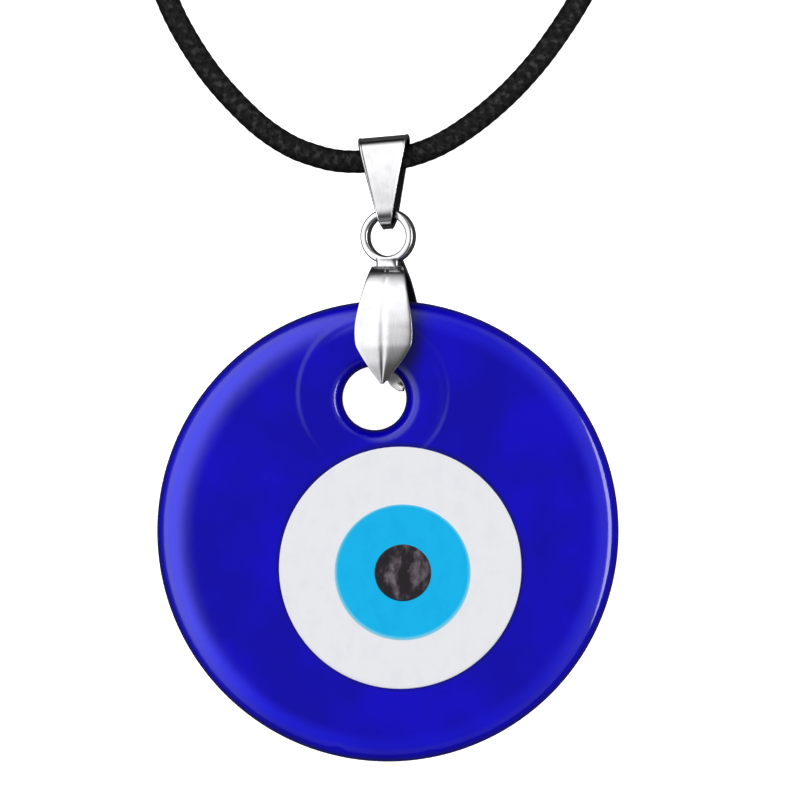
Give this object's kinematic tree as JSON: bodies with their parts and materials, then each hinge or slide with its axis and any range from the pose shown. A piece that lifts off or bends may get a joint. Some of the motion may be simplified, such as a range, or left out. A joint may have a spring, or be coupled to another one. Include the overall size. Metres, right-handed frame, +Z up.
{
  "type": "evil eye pendant necklace",
  "caption": "Round blue fused-glass eye pendant in a metal pinch clip, hung from a folded strap on a black braided neck cord with lobster clasp and extender chain.",
  "frame": {"origin": "on the surface it lies on, under the middle of the pendant with its clip and strap", "axes": "+Z up off the surface, out of the eye's face; +Y from the foot of the disc to the strap; +X to the right as the eye is seen"},
  "size_m": [0.0542, 0.128, 0.0071],
  "materials": {
    "cobalt_glass": "gloss",
    "white_glass": "gloss",
    "iris_glass": "gloss",
    "pupil_glass": "gloss",
    "clip_metal": "polished",
    "bail_metal": "polished",
    "silver_plate": "polished",
    "spring_steel": "satin",
    "cord_braid": "satin",
    "tie_wire": "satin"
  },
  "bodies": {
    "cord": {"neck_cord": "cord_braid", "cord_coil": "cord_braid", "cord_end_left": "cord_braid", "cord_end_right": "cord_braid", "coil_tie": "tie_wire", "cap_left": "silver_plate", "cap_right": "silver_plate"},
    "strap": {"strap_bail": "bail_metal"},
    "clip": {"pinch_clip": "clip_metal"},
    "glass": {"glass_disc": "cobalt_glass", "white_glass": "white_glass", "iris_glass": "iris_glass", "pupil_glass": "pupil_glass"},
    "left_ring": {"ring_left": "silver_plate"},
    "clasp": {"clasp_body": "silver_plate", "clasp_pin": "spring_steel", "clasp_spring": "spring_steel"},
    "lever": {"clasp_lever": "silver_plate"},
    "right_ring": {"ring_right": "silver_plate"},
    "link_01": {"link_01": "silver_plate"},
    "link_02": {"link_02": "silver_plate"},
    "link_03": {"link_03": "silver_plate"},
    "link_04": {"link_04": "silver_plate"},
    "link_05": {"link_05": "silver_plate"},
    "link_06": {"link_06": "silver_plate"},
    "link_07": {"link_07": "silver_plate"},
    "link_08": {"link_08": "silver_plate"},
    "link_09": {"link_09": "silver_plate"},
    "link_10": {"link_10": "silver_plate"},
    "link_11": {"link_11": "silver_plate"},
    "drop": {"chain_drop": "silver_plate"}
  },
  "joints": [
    {"name": "strap_swing", "type": "hinge", "parent": "cord", "child": "strap", "pos_m": [-0.00068, 0.025, 0.00168], "axis": [-0.9969, -0.0785, 0], "range_deg": [-60, 90]},
    {"name": "clip_swing", "type": "hinge", "parent": "strap", "child": "clip", "pos_m": [0.00003, 0.0184, 0.0026], "axis": [-0.2756, 0, 0.9613], "range_deg": [-45, 45]},
    {"name": "glass_swing", "type": "hinge", "parent": "clip", "child": "glass", "pos_m": [0.00002, 0.006, 0.00061], "axis": [0, -0.0187, 0.9998], "range_deg": [-25, 25]},
    {"name": "ring_left_swing", "type": "hinge", "parent": "cord", "child": "left_ring", "pos_m": [-0.01185, 0.08672, 0.00178], "axis": [-0.6845, -0.1775, 0.7071], "range_deg": [-25, 25]},
    {"name": "clasp_swing", "type": "hinge", "parent": "left_ring", "child": "clasp", "pos_m": [-0.0126, 0.08962, 0.00178], "axis": [-0.6845, -0.1775, -0.7071], "range_deg": [-20, 20]},
    {"name": "clasp_lever_press", "type": "hinge", "parent": "clasp", "child": "lever", "pos_m": [-0.0124, 0.09321, 0.00178], "axis": [0, 0, 1], "range_deg": [0, 22], "stiffness_Nm_per_rad": 0.00001, "springref_deg": -28.65},
    {"name": "ring_right_swing", "type": "hinge", "parent": "cord", "child": "right_ring", "pos_m": [0.00925, 0.08672, 0.00178], "axis": [-0.6845, 0.1775, 0.7071], "range_deg": [-25, 25]},
    {"name": "link_01_swing", "type": "hinge", "parent": "right_ring", "child": "link_01", "pos_m": [0.01, 0.08962, 0.00178], "axis": [-0.6845, 0.1775, -0.7071], "range_deg": [-20, 20]},
    {"name": "link_02_swing", "type": "hinge", "parent": "link_01", "child": "link_02", "pos_m": [0.01109, 0.09384, 0.00178], "axis": [-0.6845, 0.1775, 0.7071], "range_deg": [-20, 20]},
    {"name": "link_03_swing", "type": "hinge", "parent": "link_02", "child": "link_03", "pos_m": [0.01393, 0.09714, 0.00178], "axis": [-0.5607, 0.4308, -0.7071], "range_deg": [-20, 20]},
    {"name": "link_04_swing", "type": "hinge", "parent": "link_03", "child": "link_04", "pos_m": [0.01783, 0.09907, 0.00178], "axis": [-0.3478, 0.6156, 0.7071], "range_deg": [-20, 20]},
    {"name": "link_05_swing", "type": "hinge", "parent": "link_04", "child": "link_05", "pos_m": [0.02218, 0.09933, 0.00178], "axis": [-0.0796, 0.7026, -0.7071], "range_deg": [-20, 20]},
    {"name": "link_06_swing", "type": "hinge", "parent": "link_05", "child": "link_06", "pos_m": [0.02628, 0.09787, 0.00178], "axis": [0.2012, 0.6779, 0.7071], "range_deg": [-20, 20]},
    {"name": "link_07_swing", "type": "hinge", "parent": "link_06", "child": "link_07", "pos_m": [0.02948, 0.09492, 0.00178], "axis": [0.4501, 0.5454, -0.7071], "range_deg": [-20, 20]},
    {"name": "link_08_swing", "type": "hinge", "parent": "link_07", "child": "link_08", "pos_m": [0.03128, 0.09096, 0.00178], "axis": [0.6274, 0.3261, 0.7071], "range_deg": [-20, 20]},
    {"name": "link_09_swing", "type": "hinge", "parent": "link_08", "child": "link_09", "pos_m": [0.03138, 0.0866, 0.00178], "axis": [0.705, 0.0551, -0.7071], "range_deg": [-20, 20]},
    {"name": "link_10_swing", "type": "hinge", "parent": "link_09", "child": "link_10", "pos_m": [0.03103, 0.08231, 0.00178], "axis": [0.7058, -0.0436, 0.7071], "range_deg": [-20, 20]},
    {"name": "link_11_swing", "type": "hinge", "parent": "link_10", "child": "link_11", "pos_m": [0.03077, 0.07802, 0.00178], "axis": [0.7058, -0.0436, -0.7071], "range_deg": [-20, 20]},
    {"name": "chain_drop_swing", "type": "hinge", "parent": "link_11", "child": "drop", "pos_m": [0.0305, 0.07373, 0.00178], "axis": [0.7058, -0.0436, 0.7071], "range_deg": [-20, 20]}
  ]
}
